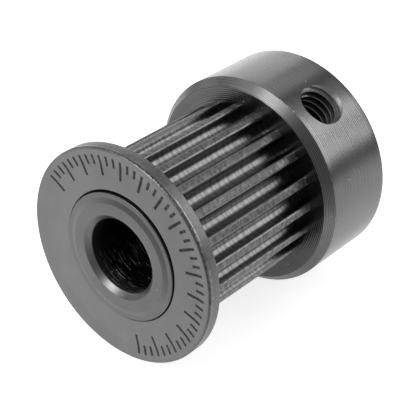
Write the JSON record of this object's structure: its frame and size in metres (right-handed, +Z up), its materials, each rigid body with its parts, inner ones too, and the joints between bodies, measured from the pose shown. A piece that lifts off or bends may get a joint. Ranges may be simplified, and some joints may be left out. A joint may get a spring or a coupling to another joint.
{
  "type": "timing belt pulley",
  "caption": "Toothed steel pulley for a synchronous belt, with a pressed flange, a wide boss as second flange, a plain bore and radial set screws.",
  "frame": {"origin": "on the pulley's axis, halfway between the hub nose's front face and the boss's rear face", "axes": "+Y along the axis, from the pressed flange to the boss; +Z up with the pulley lying on its side"},
  "size_m": [0.0234, 0.0286, 0.0234],
  "materials": {
    "body_steel": "satin",
    "flange_steel": "satin",
    "screw_steel": "satin"
  },
  "bodies": {
    "pulley": {"pulley_body": "body_steel", "front_flange": "flange_steel"},
    "set_screw_1": {"set_screw_1": "screw_steel"},
    "set_screw_2": {"set_screw_2": "screw_steel"}
  },
  "joints": [
    {"name": "set_screw_1_travel", "type": "slide", "parent": "pulley", "child": "set_screw_1", "axis": [0.5592, 0, 0.829], "range_m": [-0.0008, 0.004]},
    {"name": "set_screw_2_travel", "type": "slide", "parent": "pulley", "child": "set_screw_2", "axis": [-0.829, 0, 0.5592], "range_m": [-0.0008, 0.004]}
  ]
}
